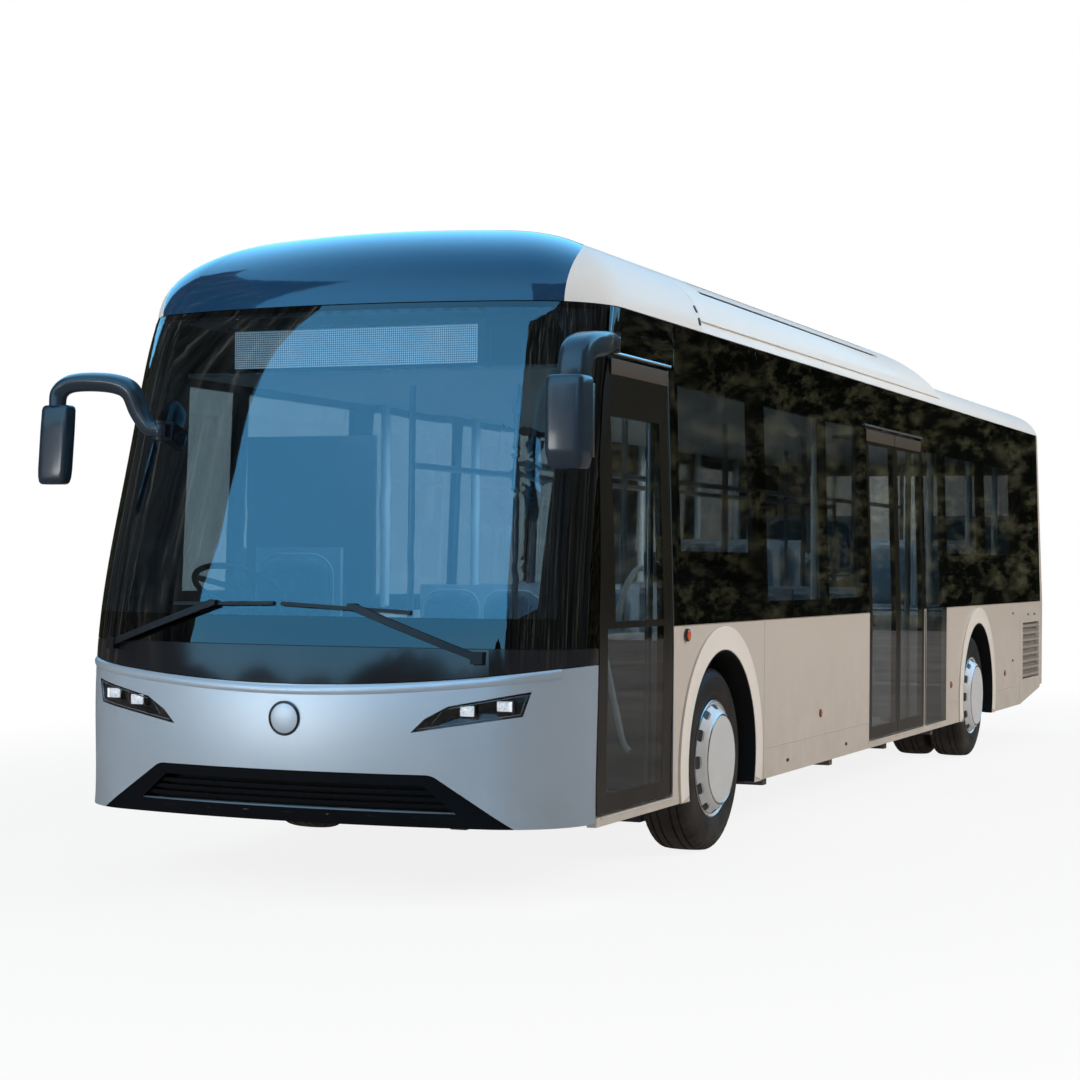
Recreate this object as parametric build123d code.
from build123d import *
from math import cos, sin, radians, hypot
from functools import lru_cache
import os

# Low-floor battery-electric city bus with its doors on the left side and the driver on the right.
# +X is the door side, -Y the front and +Z up. Z 0 is the ground. Lengths are in millimetres.
# A station is a distance back from the foremost point of the nose.

# ---------------------------------------------------------------- driving dimensions
LENGTH = 12000            # nose to rear wall
SKIRT_BOTTOM = 310
BELT = 1190               # bottom of the glazed band
EAVE = 2685               # bottom of the roof
WALL = 45                 # thickness of the body wall
GLASS = 8                 # thickness of a bonded pane
SEAM = 5                  # width of a visible joint between two panels; it is as deep as a pane
DOOR_GAP = 12             # gap round a door leaf
LEAF = 40                 # thickness of a door leaf
HINGE_RADIUS = 9          # outside hinges of the rear lid
PIN_FIT = 0.05            # radial play of every door, lid and mirror pin
END_PLAY = 0.3            # play at the ends of pins and posts
NOSE = -(LENGTH + 2 * HINGE_RADIUS) / 2     # the nose in the part's frame

HALF_WIDTH = 1275
EAVE_HALF_WIDTH = 1225
CORNER = 450              # front corner radius in plan

# Plan of the front at six heights: columns height, nose station, station where the side begins
PLANS = (
    (300, 30, 560),
    (840, 0, 560),
    (BELT, 50, 590),
    (1800, 205, 730),
    (2250, 320, 850),
    (EAVE, 450, 1000),
)
REAR_RADIUS = 220
REAR_CUT = 11700          # station where the sides end and the rear wall begins
FRONT_BAY_END = 1690      # station of the first joint in the window band
REAR_LEAN = 45            # how far the rear wall leans in from the belt to the eave
# Plan of the rear end at three heights: columns height, rear station
REAR_PLANS = ((300, LENGTH), (BELT, LENGTH), (EAVE, LENGTH - REAR_LEAN))

# Roof: quarter ellipses in from the eave
ROOF_REACH = 750
FRONT_RISE = 425          # front dome and roof fairing
REAR_RISE = 265           # plain roof behind the fairing
REAR_DRAW = 0.45          # how far the roof draws in at the rear, as a share of the sides
ROOF_SKIN = 40
CAP_END = 2150
FAIRING_END = 6900        # station where the fairing meets its sloping tail, at its top
FAIRING_TAIL = 420        # length of that slope down to the plain roof's crown
FAIRING_FOOT = 60         # lower edge of the fairing above the eave
ROOF_ANGLES = (0, 28, 52, 74, 90)

# Wheels
TYRE_RADIUS = 478
TYRE_WIDTH = 276
RIM_RADIUS = 290
WHEEL_FACE = 1235         # outer side wall of a tyre from the centre line
TWIN_GAP = 30
FRONT_AXLE = 2380
REAR_AXLE = 8920
ARCH_RADIUS = 570
FLARE_RADIUS = 695
FLARE_PROUD = 10
KINGPIN_X = 930

# Door openings
SILL = 352                # top of the sill strip
HEADER = 2450
FRONT_DOOR_REAR = 1600
MID_DOOR = (5480, 7060)
LOW_GLASS_REAR = 7790
MID_HEADER = 2400
DOOR_SWING = 155          # turn of a door post from shut to open

# Floor
FLOOR_TOP = 352
FLOOR_PLATE = 30
CEILING = 2420


def st(station):
    return NOSE + station


def block(x0, x1, s0, s1, z0, z1):
    """A box between two X values, two stations and two heights."""
    centre = Pos((x0 + x1) / 2, st((s0 + s1) / 2), (z0 + z1) / 2)
    return centre * Box(abs(x1 - x0), abs(s1 - s0), abs(z1 - z0))


def side_prism(points, x0, x1):
    """Points are (station, height); the prism runs from x0 to x1."""
    outline = Polyline(*[(st(s), z) for s, z in points], close=True)
    return extrude(Plane.YZ.offset(x0) * make_face(outline), x1 - x0)


def front_prism(points, s0, s1):
    """Points are (x, height); the prism runs from station s0 to s1."""
    outline = Polyline(*points, close=True)
    return extrude(Plane.XZ.offset(-st(s1)) * make_face(outline), s1 - s0)


def disc(x0, x1, station, z, radius):
    """A cylinder along X."""
    place = Plane.YZ.offset(min(x0, x1)) * Pos(st(station), z)
    return extrude(place * Circle(radius), abs(x1 - x0))


def post(x, station, z0, z1, radius):
    return Pos(x, st(station), (z0 + z1) / 2) * Cylinder(radius, z1 - z0)


def bar_y(x, z, s0, s1, radius):
    place = Pos(x, st((s0 + s1) / 2), z) * Rot(90, 0, 0)
    return place * Cylinder(radius, s1 - s0)


def bar_x(station, z, x0, x1, radius):
    place = Pos((x0 + x1) / 2, st(station), z) * Rot(0, 90, 0)
    return place * Cylinder(radius, x1 - x0)


def half_width(z):
    """Half the body's width: straight up to the belt, then leaning in to the eave."""
    lean = (HALF_WIDTH - EAVE_HALF_WIDTH) * max(0, z - BELT) / (EAVE - BELT)
    return HALF_WIDTH - lean


def corner_points(nose, start, radius, half):
    """Joint and middle of the right front corner arc, and the broad front arc's middle."""
    a = half - radius
    h = start - nose
    broad = (a * a + h * h - radius * radius) / (2 * (h - radius))
    ux, uy = a / (broad - radius), (h - broad) / (broad - radius)
    joint = (broad * ux, nose + broad + broad * uy)
    mid = hypot(ux + 1, uy)
    middle = (a + radius * (ux + 1) / mid, start + radius * uy / mid)
    return joint, middle


def nose_edges(nose, start, radius, half):
    (jx, jy), (cx, cy) = corner_points(nose, start, radius, half)
    return [
        ThreePointArc((-half, st(start)), (-cx, st(cy)), (-jx, st(jy))),
        ThreePointArc((-jx, st(jy)), (0, st(nose)), (jx, st(jy))),
        ThreePointArc((jx, st(jy)), (cx, st(cy)), (half, st(start))),
    ]


def rear_edges(half, rear, radius):
    k = radius * sin(radians(45))
    rx, ry = half - radius, rear - radius
    return [
        ThreePointArc((half, st(ry)), (rx + k, st(ry + k)), (rx, st(rear))),
        Line((rx, st(rear)), (-rx, st(rear))),
        ThreePointArc((-rx, st(rear)), (-rx - k, st(ry + k)), (-half, st(ry))),
    ]


def nose_plan(z, nose, start, radius, half, back):
    """Plan of the front end, closed off at the back station."""
    edges = nose_edges(nose, start, radius, half)
    edges += [Line((half, st(start)), (half, st(back))), Line((half, st(back)), (-half, st(back))),
              Line((-half, st(back)), (-half, st(start)))]
    return Pos(0, 0, z) * make_face(edges)


def rear_plan(z, front, half, rear, radius):
    """Plan of the rear end, closed off at the front station."""
    edges = rear_edges(half, rear, radius)
    edges += [Line((-half, st(rear - radius)), (-half, st(front))),
              Line((-half, st(front)), (half, st(front))),
              Line((half, st(front)), (half, st(rear - radius)))]
    return Pos(0, 0, z) * make_face(edges)


def roof_plan(z, nose, start, radius, half, rear, rear_radius):
    """Plan of the whole body: a broad front arc, four corners and straight sides."""
    edges = nose_edges(nose, start, radius, half)
    edges += [Line((half, st(start)), (half, st(rear - rear_radius)))]
    edges += rear_edges(half, rear, rear_radius)
    edges += [Line((-half, st(rear - rear_radius)), (-half, st(start)))]
    return Pos(0, 0, z) * make_face(edges)


@lru_cache
def front_form(inset):
    """The front end back to the first window joint, drawn in by the inset."""
    faces = []
    for z, nose, start in PLANS:
        faces.append(nose_plan(z, nose + inset, start, CORNER - inset, half_width(z) - inset,
                               FRONT_BAY_END))
    return loft(faces)


@lru_cache
def rear_form(inset):
    faces = []
    for z, rear in REAR_PLANS:
        faces.append(rear_plan(z, REAR_CUT, half_width(z) - inset, rear - inset,
                               REAR_RADIUS - inset))
    return loft(faces, ruled=True)


def side_wall(side, z0, z1, s0, s1, outer=0, inner=None):
    """A length of side wall between two heights and two stations."""
    inner = WALL if inner is None else inner
    heights = sorted({z0, z1} | ({BELT} if z0 < BELT < z1 else set()))
    points = [(side * (half_width(z) - outer), z) for z in heights]
    points += [(side * (half_width(z) - inner), z) for z in reversed(heights)]
    return front_prism(points, s0, s1)


@lru_cache
def dome(rise, inset):
    """The roof above the eave: the eave's plan drawn in along a quarter ellipse."""
    _, nose, start = PLANS[-1]
    rear = REAR_PLANS[-1][1]
    spare = start - nose - CORNER
    faces = []
    for angle in ROOF_ANGLES:
        draw = (ROOF_REACH - inset) * (1 - cos(radians(angle)))
        corner = CORNER - inset - draw / 2
        front = nose + inset + draw
        height = EAVE + (rise - inset) * sin(radians(angle))
        faces.append(roof_plan(height, front, front + spare + corner, corner,
                               EAVE_HALF_WIDTH - inset - draw,
                               rear - inset - REAR_DRAW * draw, REAR_RADIUS - inset - draw / 5))
    return loft(faces)


# Front edge of the door opening and rear edge of the nose panels: columns station, height
CUT_LINE = ((560, 290), (575, 1250), (655, 1950), (735, 2300), (790, HEADER), (880, EAVE + 60))


def nose_side(shift, z0=290, z1=EAVE + 60):
    """Side view of the nose, up to the cut line moved back by the shift."""
    line = [(s + shift, z) for s, z in CUT_LINE]
    return side_prism([(-200, z0)] + line + [(-200, z1)], -1400, 1400)


def nose_wall(region, outer=0, inner=None):
    inner = WALL if inner is None else inner
    return (front_form(outer) & region) - front_form(inner)


def nose_groove(region):
    """The outer layer of the nose within a region, as deep as a pane."""
    return region - front_form(GLASS)


def side_groove(side, s0, s1, z0, z1):
    """The outer layer of the upright lower side wall, as deep as a pane."""
    return block(side * (HALF_WIDTH - GLASS), side * 1400, s0, s1, z0, z1)


def rear_skin(region, outer=0, inner=None):
    inner = WALL if inner is None else inner
    return (rear_form(outer) & region) - rear_form(inner)


def save(name, *shapes):
    """Write one node: all its solids in one STEP file."""
    solids = []
    for shape in shapes:
        for piece in (shape if isinstance(shape, (list, tuple)) else [shape]):
            solids.extend(piece.solids())
    export_step(Compound(children=solids), f"parts/{name}.step")


os.makedirs("parts", exist_ok=True)

# ---------------------------------------------------------------- nose
BUMPER_BOTTOM = 330
BUMPER_TOP_MID = 942
BUMPER_TOP_EDGE = 1056    # where the curved top edge meets a plane 1400 out from the middle
MASK_TOP = 1110
TRIM_GAP = 1.5            # round lamps and grilles set into a panel
# Headlamp outline in front view, from its inner tip round: columns x, height
LAMP = ((597, 743), (660, 805), (762, 862), (1105, 930), (1074, 821), (760, 770))
# Grille outline and the mouth in its frame: columns half width, height of the top; then the foot
GRILLE = ((690, 560), (1090, 300))
GRILLE_CORNER = 90
MOUTH = ((650, 512), (800, 392))
GRILLE_BARS = 3
GRILLE_BAR = 18
WINDSCREEN_OPENING = ((-1105, 1290), (-1000, 1225), (1000, 1225), (1105, 1290),
                      (1105, 2560), (1040, 2635), (-1040, 2635), (-1105, 2560))
AHEAD = -200
NOSE_ZONE = nose_side(0)
NOSE_OUTER = nose_side(-SEAM / 2)


def nose_band(zone, z0, z1):
    return zone & block(-1400, 1400, AHEAD, 1200, z0, z1)


def below_bumper_edge(lift):
    """Everything in front under the bumper's curved top edge."""
    top = ThreePointArc((-1400, BUMPER_TOP_EDGE + lift), (0, BUMPER_TOP_MID + lift),
                        (1400, BUMPER_TOP_EDGE + lift))
    sides = Polyline((1400, BUMPER_TOP_EDGE + lift), (1400, BUMPER_BOTTOM),
                     (-1400, BUMPER_BOTTOM), (-1400, BUMPER_TOP_EDGE + lift))
    return extrude(Plane.XZ.offset(-st(1200)) * make_face([top, sides]), 1400)


def trapezium(corners):
    """An outline in front view from the half widths and heights of its top and foot."""
    (xt, zt), (xb, zb) = corners
    return make_face(Polyline((-xt, zt), (xt, zt), (xb, zb), (-xb, zb), close=True))


def grille_zone(shrink):
    """The bumper's mouth, with rounded upper corners; it runs out through the bottom edge."""
    face = trapezium(GRILLE)
    face = fillet(face.vertices().sort_by(Axis.Y)[-2:], GRILLE_CORNER)
    if shrink:
        face = offset(face, -shrink)
    return extrude(Plane.XZ.offset(-st(700)) * face, 700 - AHEAD)


def lamp_zone(side, shrink):
    face = make_face(Polyline(*[(side * x, z) for x, z in LAMP], close=True))
    if shrink:
        face = offset(face, -shrink, kind=Kind.INTERSECTION)
    return extrude(Plane.XZ.offset(-st(500)) * face, 500 - AHEAD)


def front_bumper():
    shape = nose_wall(NOSE_ZONE & below_bumper_edge(0)) - grille_zone(0)
    shape -= nose_groove(NOSE_ZONE - NOSE_OUTER)
    return shape - lamp_zone(1, 0) - lamp_zone(-1, 0)


def front_mask():
    shape = nose_wall(nose_band(NOSE_ZONE, BUMPER_TOP_MID - 20, MASK_TOP) - below_bumper_edge(0))
    shape -= nose_groove(nose_band(below_bumper_edge(SEAM), BUMPER_TOP_MID - 20, MASK_TOP))
    return shape - nose_groove(NOSE_ZONE - NOSE_OUTER)


def windscreen():
    return nose_wall(nose_band(NOSE_OUTER, MASK_TOP + SEAM, EAVE - SEAM), inner=GLASS)


def windscreen_frame():
    """The black ring that the windscreen is bonded to, with the corner pillars."""
    opening = front_prism(WINDSCREEN_OPENING, AHEAD, 640)
    return nose_wall(nose_band(NOSE_ZONE, MASK_TOP, EAVE), outer=GLASS) - opening


def headlamps():
    """Each lamp fills its hole, with a fine gap round the lens."""
    lamps = []
    for side in (1, -1):
        body = nose_wall(NOSE_ZONE & lamp_zone(side, 0))
        lamps.append(body - nose_groove(lamp_zone(side, 0) - lamp_zone(side, TRIM_GAP)))
    return lamps


def front_grille():
    """A broad frame down to the bumper's bottom edge, with level bars behind its mouth."""
    zone = nose_band(NOSE_ZONE & grille_zone(0), BUMPER_BOTTOM, MASK_TOP)
    mouth = extrude(Plane.XZ.offset(-st(700)) * trapezium(MOUTH), 700 - AHEAD)
    top, foot = MOUTH[0][1], MOUTH[1][1]
    pitch = (top - foot) / (GRILLE_BARS + 1)
    bars = None
    for i in range(GRILLE_BARS):
        z = foot + pitch * (i + 1)
        bar = block(-GRILLE[1][0], GRILLE[1][0], AHEAD, 700, z - GRILLE_BAR / 2, z + GRILLE_BAR / 2)
        bars = bar if bars is None else bars + bar
    frame = nose_wall(zone) - nose_groove(grille_zone(0) - grille_zone(TRIM_GAP))
    return frame - mouth + nose_wall(bars & zone, outer=GRILLE_BAR)


save("front_bumper", front_bumper())
save("front_mask", front_mask())
save("windscreen", windscreen())
save("windscreen_frame", windscreen_frame())
save("headlamps", headlamps())

# ---------------------------------------------------------------- sides
SKIRT_JOINTS = (3130, 10720)
KICK_START = 10750
KICK_REAR = 440
LOUVRE = (10860, 11640, 520, 1010)
LOUVRE_SLATS = 8
LOUVRE_SLAT = 24
LOW_GLASS_FRONT = MID_DOOR[1] + 60
# Windows of the door side: columns front station, rear station, bottom, top
DOOR_SIDE_WINDOWS = (
    (1735, 2970, 1557, 2380),
    (3210, 4420, 1290, 2380),
    (4500, 5350, 1290, 2380),
    (LOW_GLASS_FRONT, LOW_GLASS_REAR - 60, 1290, 2320),
    (7850, 9100, 1590, 2320),
    (9300, 10500, 1590, 2320),
)
# Windows of the driver's side behind the driver
DRIVER_SIDE_WINDOWS = (
    (1735, 2970, 1557, 2380),
    (3210, 4420, 1290, 2380),
    (4500, 5700, 1290, 2380),
    (5860, 7060, 1290, 2380),
    (7850, 9100, 1590, 2320),
    (9300, 10500, 1590, 2320),
)
DRIVER_WINDOW = (1130, 1620, 1330, 2380)
# Stations of the joints between bonded panes
DOOR_SIDE_JOINTS = (FRONT_BAY_END, 3090, 4460, MID_DOOR[0], MID_DOOR[1], 9200, 10720, REAR_CUT)
DRIVER_SIDE_JOINTS = (FRONT_BAY_END, 3090, 4460, 5780, 7150, 9200, 10720, REAR_CUT)


def front_door_hole(grow):
    line = [(s - grow, z) for s, z in CUT_LINE if SILL < z < HEADER]
    points = [(562 - grow, SILL - grow)] + line + [(790 - grow, HEADER + grow)]
    points += [(FRONT_DOOR_REAR + grow, HEADER + grow), (FRONT_DOOR_REAR + grow, SILL - grow)]
    return side_prism(points, 800, 1400)


def mid_door_hole(grow):
    return block(800, 1400, MID_DOOR[0] - grow, MID_DOOR[1] + grow, SILL - grow, MID_HEADER + grow)


def flares(side):
    """Raised rings round the two wheel openings of one side."""
    rings = []
    inside, outside = side * (HALF_WIDTH - WALL), side * (HALF_WIDTH + FLARE_PROUD)
    for station in (FRONT_AXLE, REAR_AXLE):
        ring = disc(inside, outside, station, TYRE_RADIUS, FLARE_RADIUS)
        rings.append(ring & block(inside, outside, station - 800, station + 800,
                                  SKIRT_BOTTOM, BELT - SEAM))
    return rings


def louvre_zone(side, shrink):
    s0, s1, z0, z1 = LOUVRE
    return block(side * 1100, side * 1400, s0 + shrink, s1 - shrink, z0 + shrink, z1 - shrink)


def skirts():
    """Lower side panels with wheel openings, doorways and the rising rear edge."""
    shapes = []
    kick = side_prism([(KICK_START, 200), (REAR_CUT + 400, 200), (REAR_CUT + 400, KICK_REAR + 20),
                       (KICK_START, SKIRT_BOTTOM)], -1400, 1400)
    for side in (1, -1):
        shape = side_wall(side, SKIRT_BOTTOM, BELT, 500, REAR_CUT) - NOSE_ZONE
        shape -= nose_side(SEAM / 2) & side_groove(side, 400, 700, SKIRT_BOTTOM, BELT)
        shape -= side_groove(side, 500, REAR_CUT, BELT - SEAM, BELT)
        shape -= side_groove(side, REAR_CUT - SEAM / 2, REAR_CUT, SKIRT_BOTTOM, BELT)
        for ring in flares(side):
            shape += ring
        for station in (FRONT_AXLE, REAR_AXLE):
            shape -= disc(side * 1000, side * 1400, station, TYRE_RADIUS, ARCH_RADIUS)
        if side > 0:
            shape -= front_door_hole(0)
            shape -= mid_door_hole(0)
            shape -= block(900, 1400, LOW_GLASS_FRONT, LOW_GLASS_REAR, SILL, BELT)
        for joint in SKIRT_JOINTS:
            shape -= side_groove(side, joint - SEAM / 2, joint + SEAM / 2, 200, BELT)
        shape -= kick
        shape -= louvre_zone(side, 0)
        shapes.append(shape)
    return shapes


def side_louvres():
    """Level slats in front of a back plate, in each rear side opening."""
    s0, s1, z0, z1 = LOUVRE
    shapes = []
    pitch = (z1 - z0) / LOUVRE_SLATS
    for side in (1, -1):
        zone = (z0 + TRIM_GAP, z1 - TRIM_GAP, s0 + TRIM_GAP, s1 - TRIM_GAP)
        shape = side_wall(side, *zone, outer=WALL - 8)
        for i in range(LOUVRE_SLATS):
            z = z0 + pitch * (i + 0.5)
            shape += side_wall(side, z - LOUVRE_SLAT / 2, z + LOUVRE_SLAT / 2, *zone[2:])
        shapes.append(shape)
    return shapes


def front_bay(side, seam, outer, inner):
    """The band above the belt from the cut line to the first window joint."""
    x0, x1 = (700, 1400) if side > 0 else (-1400, -700)
    zone = block(x0, x1, 400, FRONT_BAY_END - seam / 2, BELT, EAVE - seam) - nose_side(seam / 2)
    shape = nose_wall(zone, outer=outer, inner=inner)
    return shape - front_door_hole(0) if side > 0 else shape


def side_frames():
    """The dark pillars and rails behind the bonded glass, with the window openings."""
    shapes = []
    for side, windows in ((1, DOOR_SIDE_WINDOWS), (-1, DRIVER_SIDE_WINDOWS)):
        shape = side_wall(side, BELT, EAVE, FRONT_BAY_END, REAR_CUT, outer=GLASS)
        for s0, s1, z0, z1 in windows:
            shape -= block(side * 900, side * 1400, s0, s1, z0, z1)
        bay = front_bay(side, 0, GLASS, WALL)
        if side > 0:
            shape -= mid_door_hole(0)
            shape -= block(900, 1400, LOW_GLASS_FRONT, LOW_GLASS_REAR - 60, BELT, 1290)
        else:
            s0, s1, z0, z1 = DRIVER_WINDOW
            bay -= block(-1400, -700, s0, s1, z0, z1)
        shapes.append(shape + bay)
    return shapes


def window_glass():
    """Bonded panes over the frames, with joints between them."""
    shapes = []
    for side, joints in ((1, DOOR_SIDE_JOINTS), (-1, DRIVER_SIDE_JOINTS)):
        shapes.append(front_bay(side, SEAM, 0, GLASS))
        for s0, s1 in zip(joints[:-1], joints[1:]):
            z0, half = BELT, SEAM / 2
            if side > 0 and s0 == MID_DOOR[0]:
                z0, half = MID_HEADER, -SEAM / 2
            shapes.append(side_wall(side, z0, EAVE - SEAM, s0 + half, s1 - half, inner=GLASS))
    low = side_wall(1, SILL, BELT, LOW_GLASS_FRONT, LOW_GLASS_REAR, inner=GLASS)
    shapes.append(low)
    return shapes


save("side_skirts", skirts())
save("side_frames", side_frames())
save("grilles", front_grille(), side_louvres())

# ---------------------------------------------------------------- rear
REAR_WINDOW = (980, 1640, 2360)
LID = (900, 560, 1420)
LID_THICK = 35
LID_GAP = 10
LID_PIN = 4
PANE_LAP = 25             # how far the rear pane laps over the edge it is bonded to
HINGE_X = 600
HINGE_WIDTH = 80
TAIL_LAMP = (980, 1190, 620, 1250)
BEHIND = LENGTH + 200


def rear_window(shrink):
    x, z0, z1 = REAR_WINDOW
    return block(-x + shrink, x - shrink, REAR_CUT, BEHIND, z0 + shrink, z1 - shrink)


def lid_zone(shrink):
    x, z0, z1 = LID
    return block(-x + shrink, x - shrink, REAR_CUT, BEHIND, z0 + shrink, z1 - shrink)


def tail_lamp_zone(side, shrink):
    x0, x1, z0, z1 = TAIL_LAMP
    return block(side * (x0 + shrink), side * (x1 - shrink), REAR_CUT + 100, BEHIND,
                 z0 + shrink, z1 - shrink)


def rear_wall():
    shape = rear_skin(block(-1400, 1400, REAR_CUT, BEHIND, KICK_REAR, EAVE))
    shape = shape - rear_window(PANE_LAP) - lid_zone(0)
    shape -= rear_window(0) - rear_form(GLASS)
    shape -= block(-1400, 1400, REAR_CUT, REAR_CUT + SEAM / 2, KICK_REAR, EAVE) - rear_form(GLASS)
    shape -= block(-1400, 1400, REAR_CUT, BEHIND, EAVE - SEAM, EAVE) - rear_form(GLASS)
    return shape - tail_lamp_zone(1, 0) - tail_lamp_zone(-1, 0)


def tail_lamps():
    """Each lamp fills its hole, with a fine gap round the lens."""
    lamps = []
    for side in (1, -1):
        gap = tail_lamp_zone(side, 0) - tail_lamp_zone(side, TRIM_GAP)
        lamps.append(rear_skin(tail_lamp_zone(side, 0)) - (gap - rear_form(GLASS)))
    return lamps


def service_lid():
    """The rear lid with its two outside hinge leaves."""
    shape = rear_skin(lid_zone(LID_GAP), inner=LID_THICK)
    top = LID[2]
    for x in (-HINGE_X, HINGE_X):
        x0, x1 = x - HINGE_WIDTH / 2, x + HINGE_WIDTH / 2
        s0, s1 = LENGTH - 20, LENGTH + 2 * HINGE_RADIUS
        shape += block(x0, x1, s0, s1, top - LID_GAP - 50, top - LID_GAP - 20)
        shape += block(x0, x1, LENGTH + 4, s1, top - LID_GAP - 50, top)
        shape += bar_x(LENGTH + HINGE_RADIUS, top, x0, x1, HINGE_RADIUS)
        shape -= bar_x(LENGTH + HINGE_RADIUS, top, x0 - 1, x1 + 1, LID_PIN + PIN_FIT)
    return shape


def lid_hinges():
    """Ears on the rear wall either side of each lid hinge, with the hinge pin."""
    top = LID[2]
    ears = []
    for x in (-HINGE_X, HINGE_X):
        reach = HINGE_WIDTH / 2 + END_PLAY
        ears.append(bar_x(LENGTH + HINGE_RADIUS, top, x - reach - 10, x + reach + 10, LID_PIN))
        for end in (-1, 1):
            x0 = x + end * reach
            x1 = x0 + end * 18
            ear = block(min(x0, x1), max(x0, x1), LENGTH - 20, LENGTH + 2 * HINGE_RADIUS, top + 4,
                        top + 40)
            ear += bar_x(LENGTH + HINGE_RADIUS, top, min(x0, x1), max(x0, x1), HINGE_RADIUS)
            ears.append(ear)
    return ears


rear = rear_wall()
for ear in lid_hinges():
    rear += ear
save("rear_wall", rear)
save("window_glass", window_glass(), rear_skin(rear_window(TRIM_GAP), inner=GLASS))
save("tail_lamps", tail_lamps())
save("service_lid", service_lid())

# ---------------------------------------------------------------- roof
SLOT_ROWS = ((2510, 6370, 2935), (2630, 6420, 3010))   # front station, rear station, height
SLOT_HEIGHT = 20
SLOT_DEPTH = 14


def roof_zone(s0, s1):
    return block(-1400, 1400, s0, s1, EAVE - 5, EAVE + 800)


def roof_fairing():
    """The raised cover behind the front dome, ending in a slope down to the plain roof."""
    top = EAVE + FRONT_RISE + 20
    slope = FAIRING_TAIL / (top - EAVE - REAR_RISE)
    foot = FAIRING_END + slope * (top - EAVE - FAIRING_FOOT)
    zone = side_prism([(CAP_END + SEAM / 2, EAVE + FAIRING_FOOT), (foot, EAVE + FAIRING_FOOT),
                       (FAIRING_END, top), (CAP_END + SEAM / 2, top)], -1400, 1400)
    hollow = side_prism([(CAP_END + 60, EAVE), (FAIRING_END + 40, EAVE), (FAIRING_END - 60, top),
                         (CAP_END + 60, top)], -1400, 1400)
    shape = (dome(FRONT_RISE, 0) & zone) - dome(REAR_RISE, 0)
    shape -= dome(FRONT_RISE, ROOF_SKIN) & hollow
    for s0, s1, z in SLOT_ROWS:
        slot = block(-1400, 1400, s0, s1, z - SLOT_HEIGHT / 2, z + SLOT_HEIGHT / 2)
        shape -= slot - dome(FRONT_RISE, SLOT_DEPTH)
    return shape


save("roof_front_cap",
     (dome(FRONT_RISE, 0) & roof_zone(0, CAP_END - SEAM / 2)) - dome(FRONT_RISE, ROOF_SKIN))
save("roof_shell",
     (dome(REAR_RISE, 0) & roof_zone(CAP_END + SEAM / 2, BEHIND)) - dome(REAR_RISE, ROOF_SKIN))
save("roof_fairing", roof_fairing())

# ---------------------------------------------------------------- doors
POST_X = 1150
POST_RADIUS = 20
POST_INSET = 35           # post centre from the end of the doorway
ARM_WIDTH = 24
ARM_THICK = 20
ARM_HEIGHTS = (400, 2340)
PIN_RADIUS = 8
LEAF_BOTTOM = SILL + DOOR_GAP
LEAF_MIDDLE_GAP = 6
FRONT_ARM = 540
MID_ARM = 410
FRAME_BAR = 62
# Panes of the front door: columns front station, rear station, bottom, top
FRONT_PANES = ((690, 1450, 440, 1195), (790, 1450, 1225, 2170))
MID_PANE_HEIGHTS = (440, 2290)


def link(p, q, z):
    """A flat bar between two points in plan, with rounded ends."""
    length = hypot(q[0] - p[0], q[1] - p[1])
    turn = Vector(1, 0, 0).get_signed_angle(Vector(q[0] - p[0], q[1] - p[1], 0), Vector(0, 0, 1))
    place = Pos((p[0] + q[0]) / 2, (p[1] + q[1]) / 2, z - ARM_THICK / 2) * Rot(0, 0, turn)
    return extrude(place * SlotCenterToCenter(length, ARM_WIDTH), ARM_THICK)


def door_post(station, toward, arm):
    """A turning post with a bent arm low down and one high up; the arms point toward the leaf."""
    top = CEILING - END_PLAY
    shape = post(POST_X, station, FLOOR_TOP + END_PLAY, top, POST_RADIUS)
    open_angle = radians(DOOR_SWING - 90)
    short, long = arm * cos(open_angle), arm * sin(open_angle)
    turn = radians(DOOR_SWING)
    elbow = (POST_X + short * cos(turn), st(station) + toward * short * sin(turn))
    eye = (POST_X, st(station) + toward * arm)
    for z in ARM_HEIGHTS:
        bars = link((POST_X, st(station)), elbow, z) + link(elbow, eye, z)
        ring = Pos(eye[0], eye[1], z) * Cylinder(ARM_WIDTH * 0.8, ARM_THICK)
        shape += bars + ring
        shape -= Pos(eye[0], eye[1], z) * Cylinder(PIN_RADIUS + PIN_FIT, ARM_THICK * 2)
    return shape


def leaf_brackets(eye_station):
    """A plate over each arm's eye, with the pin that hangs in it."""
    shape = None
    for z in ARM_HEIGHTS:
        z0 = z + ARM_THICK / 2 + END_PLAY
        plate = block(POST_X - 20, half_width(z) - LEAF / 2, eye_station - 24, eye_station + 24,
                      z0, z0 + 10)
        pin = post(POST_X, eye_station, z - ARM_THICK / 2, z0 + 5, PIN_RADIUS)
        shape = plate + pin if shape is None else shape + plate + pin
    return shape


def front_leaf():
    frame = nose_wall(front_door_hole(-DOOR_GAP), inner=LEAF)
    panes = []
    for s0, s1, z0, z1 in FRONT_PANES:
        frame -= block(800, 1400, s0, s1, z0, z1)
        panes.append(nose_wall(block(800, 1400, s0, s1, z0, z1), inner=GLASS))
    eye = FRONT_DOOR_REAR - POST_INSET - FRONT_ARM
    return frame + leaf_brackets(eye), panes


def mid_leaf(s0, s1, eye):
    frame = side_wall(1, LEAF_BOTTOM, MID_HEADER - DOOR_GAP, s0, s1, inner=LEAF)
    z0, z1 = MID_PANE_HEIGHTS
    frame -= block(800, 1400, s0 + FRAME_BAR, s1 - FRAME_BAR, z0, z1)
    pane = side_wall(1, z0, z1, s0 + FRAME_BAR, s1 - FRAME_BAR, inner=GLASS)
    return frame + leaf_brackets(eye), pane


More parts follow.
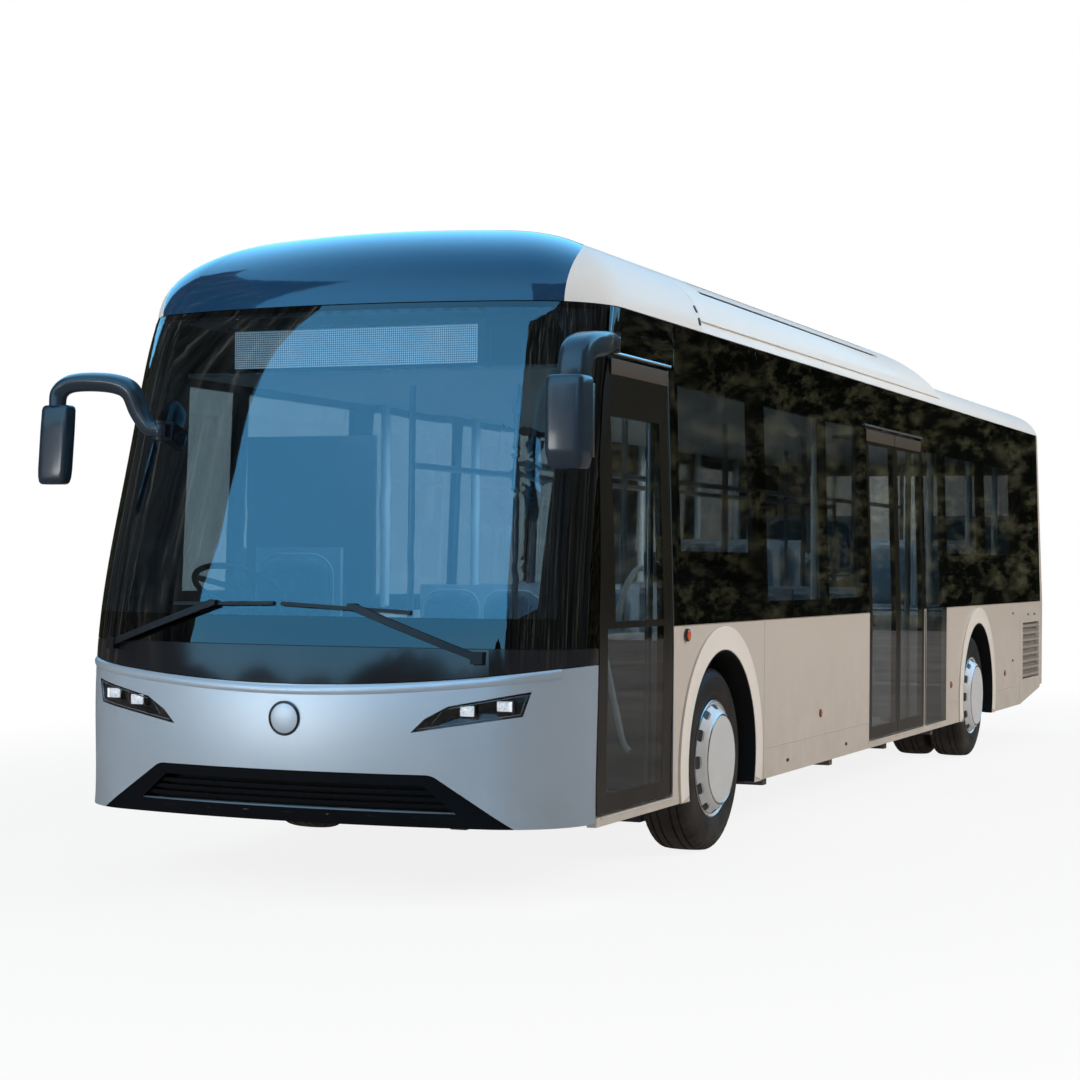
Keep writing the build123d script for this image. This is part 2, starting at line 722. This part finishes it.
leaf, panes = front_leaf()
save("front_door_leaf", leaf)
save("front_door_glass", panes)
save("front_door_post", door_post(FRONT_DOOR_REAR - POST_INSET, -1, FRONT_ARM))
middle = sum(MID_DOOR) / 2
front_post, rear_post = MID_DOOR[0] + POST_INSET, MID_DOOR[1] - POST_INSET
leaf, pane = mid_leaf(MID_DOOR[0] + DOOR_GAP, middle - LEAF_MIDDLE_GAP, front_post + MID_ARM)
save("mid_door_leaf_front", leaf)
save("mid_door_glass_front", pane)
save("mid_door_post_front", door_post(front_post, 1, MID_ARM))
leaf, pane = mid_leaf(middle + LEAF_MIDDLE_GAP, MID_DOOR[1] - DOOR_GAP, rear_post - MID_ARM)
save("mid_door_leaf_rear", leaf)
save("mid_door_glass_rear", pane)
save("mid_door_post_rear", door_post(rear_post, -1, MID_ARM))

# ---------------------------------------------------------------- floor and chassis
RAIL_X = (380, 460)
RAIL_BOTTOM = 215
FLOOR_SIDE = HALF_WIDTH - WALL
WHEEL_BOX = 600           # half length of a wheel box inside
BOX_PLATE = 30
FRONT_BOX_X = 590
REAR_BOX_X = 640
BOX_TOP = 1080
STEP_START = 7900
STEP_TOP = 600
BAY_START = 10600
BAY_TOP = 950
DECK_REAR = 11900


def wheel_box(side, x, station, bottom):
    """Inner, front, rear and top plates of the box over a wheel."""
    s0, s1 = station - WHEEL_BOX, station + WHEEL_BOX
    lid = BOX_TOP + BOX_PLATE
    return [
        block(side * (x - BOX_PLATE), side * x, s0 - BOX_PLATE, s1 + BOX_PLATE, bottom, lid),
        block(side * x, side * FLOOR_SIDE, s0 - BOX_PLATE, s0, bottom, lid),
        block(side * x, side * FLOOR_SIDE, s1, s1 + BOX_PLATE, bottom, lid),
        block(side * x, side * FLOOR_SIDE, s0, s1, BOX_TOP, lid),
    ]


def boards(top, box_x, axle, s0, s1):
    """A floor at one height, laid in boards round a pair of wheel boxes."""
    low, x = top - FLOOR_PLATE, box_x - BOX_PLATE
    gap = WHEEL_BOX + BOX_PLATE
    laid = [block(-x, x, s0, s1, low, top)]
    for side in (1, -1):
        for start, end in ((s0, axle - gap), (axle + gap, s1)):
            laid.append(block(side * x, side * FLOOR_SIDE, start, end, low, top))
    return laid


def floor_deck():
    """Boards of the low floor, from the cab to the step."""
    front = block(-1000, 1000, 360, 640, FLOOR_TOP - FLOOR_PLATE, FLOOR_TOP)
    return [front] + boards(FLOOR_TOP, FRONT_BOX_X, FRONT_AXLE, 640, STEP_START)


def rear_deck():
    """The step, the raised floor over the rear axle and the deck over the drive unit."""
    riser = STEP_START + FLOOR_PLATE
    second = BAY_START + FLOOR_PLATE
    laid = boards(STEP_TOP, REAR_BOX_X, REAR_AXLE, riser, BAY_START)
    laid.append(block(-FLOOR_SIDE, FLOOR_SIDE, STEP_START, riser, FLOOR_TOP - FLOOR_PLATE, STEP_TOP))
    laid.append(block(-FLOOR_SIDE, FLOOR_SIDE, BAY_START, second, STEP_TOP - FLOOR_PLATE, BAY_TOP))
    laid.append(block(-FLOOR_SIDE, FLOOR_SIDE, second, REAR_CUT, BAY_TOP - FLOOR_PLATE, BAY_TOP))
    laid.append(block(-1000, 1000, REAR_CUT, DECK_REAR, BAY_TOP - FLOOR_PLATE, BAY_TOP))
    return laid


def wheel_boxes():
    plates = []
    for side in (1, -1):
        plates += wheel_box(side, FRONT_BOX_X, FRONT_AXLE, FLOOR_TOP - FLOOR_PLATE)
        plates += wheel_box(side, REAR_BOX_X, REAR_AXLE, STEP_TOP - FLOOR_PLATE)
    return plates


TOW_RADIUS = 15
TOW_DEPTH = 80
TOW_X = 420
TOW_FRONT = 950
TOW_REAR = 11840
FRAME_CROSS = (1010, 1600, 3300, 4700, 6100, 7500, 8250, 9600, 10700, 11500)
CROSS_WIDTH = 70
JACK_PAD = 60
JACK_STATIONS = (3250, 7850)


def chassis_frame():
    """Two rails, cross members, outriggers to the sills, tow sockets and jacking pads."""
    top = FLOOR_TOP - FLOOR_PLATE
    shape = None
    for side in (1, -1):
        x0, x1 = side * RAIL_X[0], side * RAIL_X[1]
        rail = block(min(x0, x1), max(x0, x1), TOW_FRONT, TOW_REAR, RAIL_BOTTOM, top)
        shape = rail if shape is None else shape + rail
    for station in FRAME_CROSS:
        reach = FLOOR_SIDE if 3000 < station < 8000 else RAIL_X[1] + 120
        shape += block(-reach, reach, station - CROSS_WIDTH / 2, station + CROSS_WIDTH / 2,
                       top - 60, top)
    middle_z = (RAIL_BOTTOM + top) / 2
    for side in (1, -1):
        for mouth, toward in ((TOW_FRONT, 1), (TOW_REAR, -1)):
            hole = Pos(side * TOW_X, st(mouth + toward * TOW_DEPTH / 2), middle_z) * Rot(90, 0, 0)
            shape -= hole * Cylinder(TOW_RADIUS, TOW_DEPTH)
        for station in JACK_STATIONS:
            shape += block(side * TOW_X - JACK_PAD, side * TOW_X + JACK_PAD, station - JACK_PAD,
                           station + JACK_PAD, RAIL_BOTTOM - 15, RAIL_BOTTOM)
    return shape


def rear_bearers():
    """Uprights and top members that carry the raised rear deck and the drive unit."""
    shape = None
    for side in (1, -1):
        for station in (BAY_START - 120, 11500):
            z1 = STEP_TOP - FLOOR_PLATE if station < BAY_START else BAY_TOP - FLOOR_PLATE
            x0, x1 = sorted((side * RAIL_X[0], side * RAIL_X[1]))
            upright = block(x0, x1, station - 35, station + 35, FLOOR_TOP - FLOOR_PLATE, z1)
            shape = upright if shape is None else shape + upright
    return shape


save("floor_deck", floor_deck())
save("rear_deck", rear_deck())
save("wheel_boxes", wheel_boxes())
save("chassis_frame", chassis_frame() + rear_bearers())

# ---------------------------------------------------------------- axles, knuckles and wheels
BEAM = (130, RAIL_BOTTOM, 45)       # bottom, top, half width
RISER_X = (780, 840)
EYE = (430, 526, 42)                # bottom, top, radius
KINGPIN_RADIUS = 17
SPINDLE_RADIUS = 45
BEARING_FIT = 0.05
PLATE_X = (985, 1012)
KNUCKLE_Z = (378, 578)
LUG = 44
SPINDLE_END = 1165
HOUSING_RADIUS = 85
HOUSING_X = 590


def front_axle():
    z0, z1, half = BEAM
    shape = block(-RISER_X[1], RISER_X[1], FRONT_AXLE - half, FRONT_AXLE + half, z0, z1)
    for side in (1, -1):
        x0, x1 = side * RISER_X[0], side * RISER_X[1]
        shape += block(x0, x1, FRONT_AXLE - half, FRONT_AXLE + half, z0, EYE[1])
        shape += block(x0, side * KINGPIN_X, FRONT_AXLE - 40, FRONT_AXLE + 40, EYE[0], EYE[1])
        shape += post(side * KINGPIN_X, FRONT_AXLE, EYE[0], EYE[1], EYE[2])
        shape -= post(side * KINGPIN_X, FRONT_AXLE, EYE[0] - 1, EYE[1] + 1,
                      KINGPIN_RADIUS + BEARING_FIT)
    return shape


def rear_axle():
    z = TYRE_RADIUS
    shape = bar_x(REAR_AXLE, z, -HOUSING_X, HOUSING_X, HOUSING_RADIUS)
    shape += bar_y(0, z, REAR_AXLE - 190, REAR_AXLE + 190, HOUSING_RADIUS)
    for side in (1, -1):
        shape += bar_x(REAR_AXLE, z, min(side * 500, side * SPINDLE_END),
                       max(side * 500, side * SPINDLE_END), SPINDLE_RADIUS)
        shape += block(side * RAIL_X[0], side * RAIL_X[1], REAR_AXLE - 80, REAR_AXLE + 80,
                       FLOOR_TOP - FLOOR_PLATE, z)
    return shape


def knuckle(side):
    """Fork round the axle's eye with its kingpin, and the spindle that carries the wheel."""
    z0, z1 = KNUCKLE_Z
    x0, x1 = side * PLATE_X[0], side * PLATE_X[1]
    shape = block(x0, x1, FRONT_AXLE - LUG, FRONT_AXLE + LUG, z0, z1)
    for low, high in ((z0, EYE[0] - 5), (EYE[1] + 5, z1)):
        shape += post(side * KINGPIN_X, FRONT_AXLE, low, high, LUG)
        shape += block(side * KINGPIN_X, x1, FRONT_AXLE - LUG, FRONT_AXLE + LUG, low, high)
    shape += post(side * KINGPIN_X, FRONT_AXLE, z0, z1, KINGPIN_RADIUS)
    ends = sorted((x0, side * SPINDLE_END))
    shape += bar_x(FRONT_AXLE, TYRE_RADIUS, ends[0], ends[1], SPINDLE_RADIUS)
    return shape


def turned(profile, side, station, face):
    """A solid of revolution about a wheel's axis; the profile is (x out from the face, radius)."""
    points = [(side * (face + x), st(station), TYRE_RADIUS + r) for x, r in profile]
    axis = Axis((0, st(station), TYRE_RADIUS), (1, 0, 0))
    return revolve(make_face(Polyline(*points, close=True)), axis, 360)


TYRE_PROFILE = ((-TYRE_WIDTH + 26, RIM_RADIUS), (-TYRE_WIDTH, 365), (-TYRE_WIDTH + 4, 448),
                (-TYRE_WIDTH + 34, TYRE_RADIUS), (-34, TYRE_RADIUS), (-4, 448), (0, 365),
                (-26, RIM_RADIUS))
HUB_RADIUS = 95
HUB_INNER = 1030 - WHEEL_FACE
HUB_DEEPER = 140          # a rear hub reaches this much further in
COVER_HOLES = 12
COVER_HOLE_CIRCLE = 271
COVER_HOLE = (68, 24)     # length and width of an oval
COVER_PROUD = 40          # the flat of the cover beyond the tyre's side wall
# Outside of a wheel from the tyre's seat to its middle: columns x from the face, radius
COVER_PROFILE = (
    (-26, RIM_RADIUS), (-19, 305), (-10, 308), (-8, 299), (-18, 290), (-18, 284), (-6, 280),
    (COVER_PROUD - 10, 246), (COVER_PROUD - 2, 236), (COVER_PROUD, 222), (COVER_PROUD, 0))


def rim_profile(inner, hub):
    """Half section of a wheel whose seat starts at the inner x and whose hub starts at the other."""
    bore = SPINDLE_RADIUS + BEARING_FIT
    back = ((-20, 0), (-20, bore), (hub, bore), (hub, HUB_RADIUS), (-80, HUB_RADIUS),
            (-80, 255), (-120, 272), (inner, 274))
    return ((inner, RIM_RADIUS),) + COVER_PROFILE + back


FRONT_RIM_PROFILE = rim_profile(-TYRE_WIDTH + 26, HUB_INNER)
REAR_RIM_PROFILE = rim_profile(-2 * TYRE_WIDTH - TWIN_GAP + 26, HUB_INNER - HUB_DEEPER)


def wheel(side, station, profile):
    """Rim, hub and dished cover with a ring of oval holes in its cone."""
    shape = turned(profile, side, station, WHEEL_FACE)
    hole = extrude(SlotOverall(*COVER_HOLE, rotation=90), COVER_PROUD + 20, both=True)
    for i in range(COVER_HOLES):
        cut = Pos(0, st(station), TYRE_RADIUS) * Rot(360 * i / COVER_HOLES, 0, 0)
        cut = cut * Pos(side * WHEEL_FACE, 0, COVER_HOLE_CIRCLE) * Rot(0, 90, 0)
        shape -= cut * hole
    return shape


for side, name in ((1, "left"), (-1, "right")):
    save(f"knuckle_{name}", knuckle(side))
    save(f"front_wheel_{name}", wheel(side, FRONT_AXLE, FRONT_RIM_PROFILE))
    save(f"front_tyre_{name}", turned(TYRE_PROFILE, side, FRONT_AXLE, WHEEL_FACE))
    save(f"rear_wheel_{name}", wheel(side, REAR_AXLE, REAR_RIM_PROFILE))
    save(f"rear_tyres_{name}", turned(TYRE_PROFILE, side, REAR_AXLE, WHEEL_FACE),
         turned(TYRE_PROFILE, side, REAR_AXLE, WHEEL_FACE - TYRE_WIDTH - TWIN_GAP))
save("axles", front_axle(), rear_axle())

# ---------------------------------------------------------------- inside
CEILING_THICK = 20
CEILING_HALF = half_width(CEILING) - WALL - 1
STANCHION = 17
SEAT_WIDTH = 860
SEAT_X = (340, 340 + SEAT_WIDTH)
SEAT_HEIGHT = 440
SEAT_SHELL = 30
BACK_HEIGHT = 560
PAD = 45
BOX_SEAT = BOX_TOP + BOX_PLATE + SEAT_SHELL - SEAT_HEIGHT   # seats that stand on a wheel box
# Double seats: columns side, station of the seat's back, height of the floor under it
SEATS = (
    (1, 3900, FLOOR_TOP), (1, 4700, FLOOR_TOP), (1, 5400, FLOOR_TOP),
    (-1, 3900, FLOOR_TOP), (-1, 4700, FLOOR_TOP), (-1, 5500, FLOOR_TOP), (-1, 7700, FLOOR_TOP),
    (1, 8850, BOX_SEAT), (1, 9500, BOX_SEAT), (1, 10300, STEP_TOP),
    (-1, 8850, BOX_SEAT), (-1, 9500, BOX_SEAT), (-1, 10300, STEP_TOP),
    (1, 11300, BAY_TOP), (-1, 11300, BAY_TOP),
)
DRIVER_X = -760
DRIVER_BACK = 1500
DRIVER_FLOOR = 560


def seat(x0, x1, back, floor):
    """A seat shell on a pedestal, with a cushion and a back pad; the rider faces forward."""
    z = floor + SEAT_HEIGHT
    length = 440
    shell = block(x0, x1, back - length, back, z - SEAT_SHELL, z)
    shell += block(x0, x1, back, back + SEAT_SHELL, z - SEAT_SHELL, z + BACK_HEIGHT)
    mid = (x0 + x1) / 2
    if floor != BOX_SEAT:
        shell += block(mid - 60, mid + 60, back - 300, back - 120, floor, z - SEAT_SHELL)
    cushion = block(x0 + 25, x1 - 25, back - length + 15, back - PAD - 10, z, z + PAD)
    rest = block(x0 + 25, x1 - 25, back - PAD, back, z + 20, z + BACK_HEIGHT - 30)
    return shell, [cushion, rest]


def seat_row():
    shells, pads = [], []
    for side, back, floor in SEATS:
        x0, x1 = sorted((side * SEAT_X[0], side * SEAT_X[1]))
        shell, pad = seat(x0, x1, back, floor)
        shells.append(shell)
        pads += pad
    shell, pad = seat(DRIVER_X - 250, DRIVER_X + 250, DRIVER_BACK, DRIVER_FLOOR)
    shells.append(shell)
    pads += pad
    return shells, pads


# Upright poles: columns x, station, height of the floor under it
POLES = (
    (300, 3500, FLOOR_TOP), (300, 5400, FLOOR_TOP), (-300, 4400, FLOOR_TOP),
    (-300, 5800, FLOOR_TOP), (300, 7300, FLOOR_TOP), (-300, 7300, FLOOR_TOP),
    (300, 8900, STEP_TOP), (-300, 8900, STEP_TOP), (300, 10400, STEP_TOP), (-300, 10400, STEP_TOP),
    (300, 1900, FLOOR_TOP), (-300, 1900, FLOOR_TOP),
)
RAIL_HEIGHT = 2000


def grab_rails():
    """Uprights from floor to ceiling joined by two long rails."""
    shapes = []
    for side in (1, -1):
        rail = bar_y(side * 300, RAIL_HEIGHT, 1900, 10400, STANCHION)
        for x, station, floor in POLES:
            if x * side > 0:
                rail += post(x, station, floor, CEILING, STANCHION)
        shapes.append(rail)
    return shapes


def cab_fittings():
    """Driver's platform, dashboard and the partition behind the driver."""
    platform = block(-1000, -380, 640, 1700, FLOOR_TOP, FLOOR_TOP + 100)
    platform += block(-1180, -380, 900, 1700, FLOOR_TOP, DRIVER_FLOOR)
    dash = side_prism([(640, FLOOR_TOP + 100), (640, 1120), (720, 1180), (860, 1100), (900, 980),
                       (820, 900), (760, FLOOR_TOP + 100)], -1150, -380)
    shelf = side_prism([(420, 1090), (420, 1060), (760, 1060), (760, 1090)], -900, 900)
    wall_panel = block(-1180, -420, 1700, 1730, FLOOR_TOP, 2150)
    return platform + dash + shelf + wall_panel


WHEEL_CENTRE = (DRIVER_X, 900, 1350)
WHEEL_RING = 225
COLUMN_TILT = -30
COLUMN = 300


def steering_wheel():
    ring = Torus(WHEEL_RING, 15)
    hub = Cylinder(48, 40)
    for angle in (90, 210, 330):
        hub += Rot(0, 0, angle) * Pos(WHEEL_RING / 2, 0, 0) * Box(WHEEL_RING, 34, 16)
    column = Pos(0, 0, -COLUMN / 2) * Cylinder(26, COLUMN)
    x, station, z = WHEEL_CENTRE
    shape = Pos(x, st(station), z) * Rot(COLUMN_TILT, 0, 0) * (ring + hub + column)
    return shape - cab_fittings()


def ceiling_panel():
    return block(-CEILING_HALF, CEILING_HALF, 1100, 11500, CEILING, CEILING + CEILING_THICK)


shells, pads = seat_row()
save("seat_shells", shells)
save("seat_pads", pads)
save("grab_rails", grab_rails())
save("cab_fittings", cab_fittings())
save("steering_wheel", steering_wheel())
save("ceiling_panel", ceiling_panel())
# Closed masses as plain blocks: columns half width, front station, rear station, bottom, top
DRIVE_UNIT = (450, 10900, 11400, FLOOR_TOP - FLOOR_PLATE, 880)
BATTERY = (620, 2600, 6200, 2900, 3045)


def heavy_units():
    half, s0, s1, z0, z1 = DRIVE_UNIT
    drive = block(-half, half, s0, s1, z0, z1)
    half, s0, s1, z0, z1 = BATTERY
    return [drive, block(-half, half, s0, s1, z0, z1) - dome(REAR_RISE, 0)]


save("heavy_units", heavy_units())

# ---------------------------------------------------------------- display, wipers and mirrors
DISPLAY = (680, 2395, 2610, 640, 700)     # half width, bottom, top, front station, rear station
DISPLAY_ARM = 20


def destination_display():
    """The sign box behind the windscreen, hung from two brackets under the roof."""
    x, z0, z1, s0, s1 = DISPLAY
    shape = block(-x, x, s0, s1, z0, z1)
    for side in (1, -1):
        x0, x1 = side * (x - 60), side * (x - 60 + DISPLAY_ARM)
        shape += block(x0, x1, s0, s1, z1, EAVE)
        shape += block(x0, x1, s0, s1, EAVE, EAVE + FRONT_RISE) & dome(FRONT_RISE, ROOF_SKIN)
    return shape


BLADE = (16, 14)          # height of a blade in front view, its stand off the glass
ARM_STAND = (14, 34)      # a wiper arm's inner and outer distance off the glass
# Wipers: columns pivot x, pivot height, arm end x, arm end height, blade end x, blade end height,
# other blade end x, other blade end height
WIPERS = (
    (892, 1075, 300, 1292, -60, 1300, 573, 1268),
    (-998, 1100, -420, 1298, -645, 1290, -100, 1301),
)


def strip(p, q, width, outer, inner):
    """A strip that follows the screen between two points in front view."""
    (x0, z0), (x1, z1) = p, q
    length = hypot(x1 - x0, z1 - z0)
    nx, nz = -(z1 - z0) / length * width / 2, (x1 - x0) / length * width / 2
    zone = front_prism([(x0 + nx, z0 + nz), (x1 + nx, z1 + nz), (x1 - nx, z1 - nz),
                        (x0 - nx, z0 - nz)], AHEAD, 700)
    return nose_wall(zone, outer=-outer, inner=-inner)


def wipers():
    shapes = []
    for px, pz, ax, az, bx, bz, cx, cz in WIPERS:
        shape = strip((bx, bz), (cx, cz), BLADE[0], BLADE[1], 0)
        shape += strip((px, pz), (ax, az), 30, ARM_STAND[1], ARM_STAND[0])
        shape += strip((ax - 20, az), (ax + 20, az), 24, ARM_STAND[1], 4)
        shape += strip((px - 26, pz), (px + 26, pz), 52, ARM_STAND[1] + 6, 0)
        shapes.append(shape)
    return shapes


def arm_run(points):
    """A round arm through (x, station, height, radius) points."""
    shape = None
    for p, q in zip(points[:-1], points[1:]):
        a, b = Vector(p[0], st(p[1]), p[2]), Vector(q[0], st(q[1]), q[2])
        length = (b - a).length
        solid = Cylinder(p[3], length) if p[3] == q[3] else Cone(p[3], q[3], length)
        run = Plane(a, z_dir=b - a) * Pos(0, 0, length / 2) * solid
        run += Pos(b.X, b.Y, b.Z) * Sphere(q[3])
        shape = run if shape is None else shape + run
    return shape


BARREL = (26, 60)                # radius and height of the part of an arm that turns on its pin
BARREL_PIN = 10
LUG_THICK = 15
LUG_REACH = 110
PLATE_GAP = (12, 30)             # mount plate behind the barrel: left mirror, right mirror
# Mirror heads: columns x, station, top, width, depth, height, edge radius
LEFT_HEAD = (1320, 83, 2296, 181, 165, 404, 38)
RIGHT_HEAD = (-1370, 200, 2223, 165, 90, 378, 32)
# Arms from the hinge out: columns x, station, height, radius
LEFT_ARM = ((1262, 780, 2500, 28), (1275, 700, 2500, 28), (1295, 560, 2490, 45),
            (1312, 330, 2455, 58), (1320, 150, 2400, 60), (1320, 90, 2310, 58))
RIGHT_ARM = ((-840, 280, 2100, 28), (-905, 275, 2100, 28), (-950, 270, 2200, 38),
             (-985, 262, 2290, 48), (-1109, 250, 2325, 50), (-1269, 222, 2333, 50),
             (-1345, 205, 2305, 48), (-1370, 200, 2235, 42))


def mirror_unit(head, arm):
    """Head, arm and the barrel that turns on the mount's pin."""
    x, station, top, width, depth, height, edge = head
    hx, hs, hz, _ = arm[0]
    shell = Pos(x, st(station), top - height / 2) * Box(width, depth, height)
    shape = fillet(shell.edges(), edge) + arm_run(arm)
    low, high = hz - BARREL[1] / 2, hz + BARREL[1] / 2
    shape += post(hx, hs, low, high, BARREL[0])
    shape -= post(hx, hs, high, high + LUG_THICK + 20, BARREL[0] + 6)
    shape -= post(hx, hs, low - LUG_THICK - 20, low, BARREL[0] + 6)
    return shape - post(hx, hs, low - 1, high + 1, BARREL_PIN + PIN_FIT)


def mirror_mount(arm, lug_zone):
    """A fork on the body, over and under the barrel, with the hinge pin."""
    hx, hs, hz, _ = arm[0]
    half = BARREL[1] / 2 + END_PLAY
    shape = post(hx, hs, hz - half - LUG_THICK, hz + half + LUG_THICK, BARREL_PIN)
    for z0, z1 in ((hz - half - LUG_THICK, hz - half), (hz + half, hz + half + LUG_THICK)):
        shape += post(hx, hs, z0, z1, BARREL[0])
        shape += lug_zone(hx, hs, z0, z1, 0)
    shape += lug_zone(hx, hs, hz - half - LUG_THICK, hz + half + LUG_THICK, 1)
    return shape - front_form(0)


def left_lug(hx, hs, z0, z1, plate):
    reach = hx - (BARREL[0] + PLATE_GAP[0]) * plate
    return block(hx - LUG_REACH, reach, hs - BARREL[0], hs + BARREL[0], z0, z1)


def right_lug(hx, hs, z0, z1, plate):
    front = hs + (BARREL[0] + PLATE_GAP[1]) * plate
    return block(hx - BARREL[0], hx + BARREL[0], front, hs + LUG_REACH, z0, z1)


save("destination_display", destination_display())
save("wipers", wipers())
save("mirror_left", mirror_unit(LEFT_HEAD, LEFT_ARM))
save("mirror_right", mirror_unit(RIGHT_HEAD, RIGHT_ARM))
save("mirror_mounts", mirror_mount(LEFT_ARM, left_lug), mirror_mount(RIGHT_ARM, right_lug))
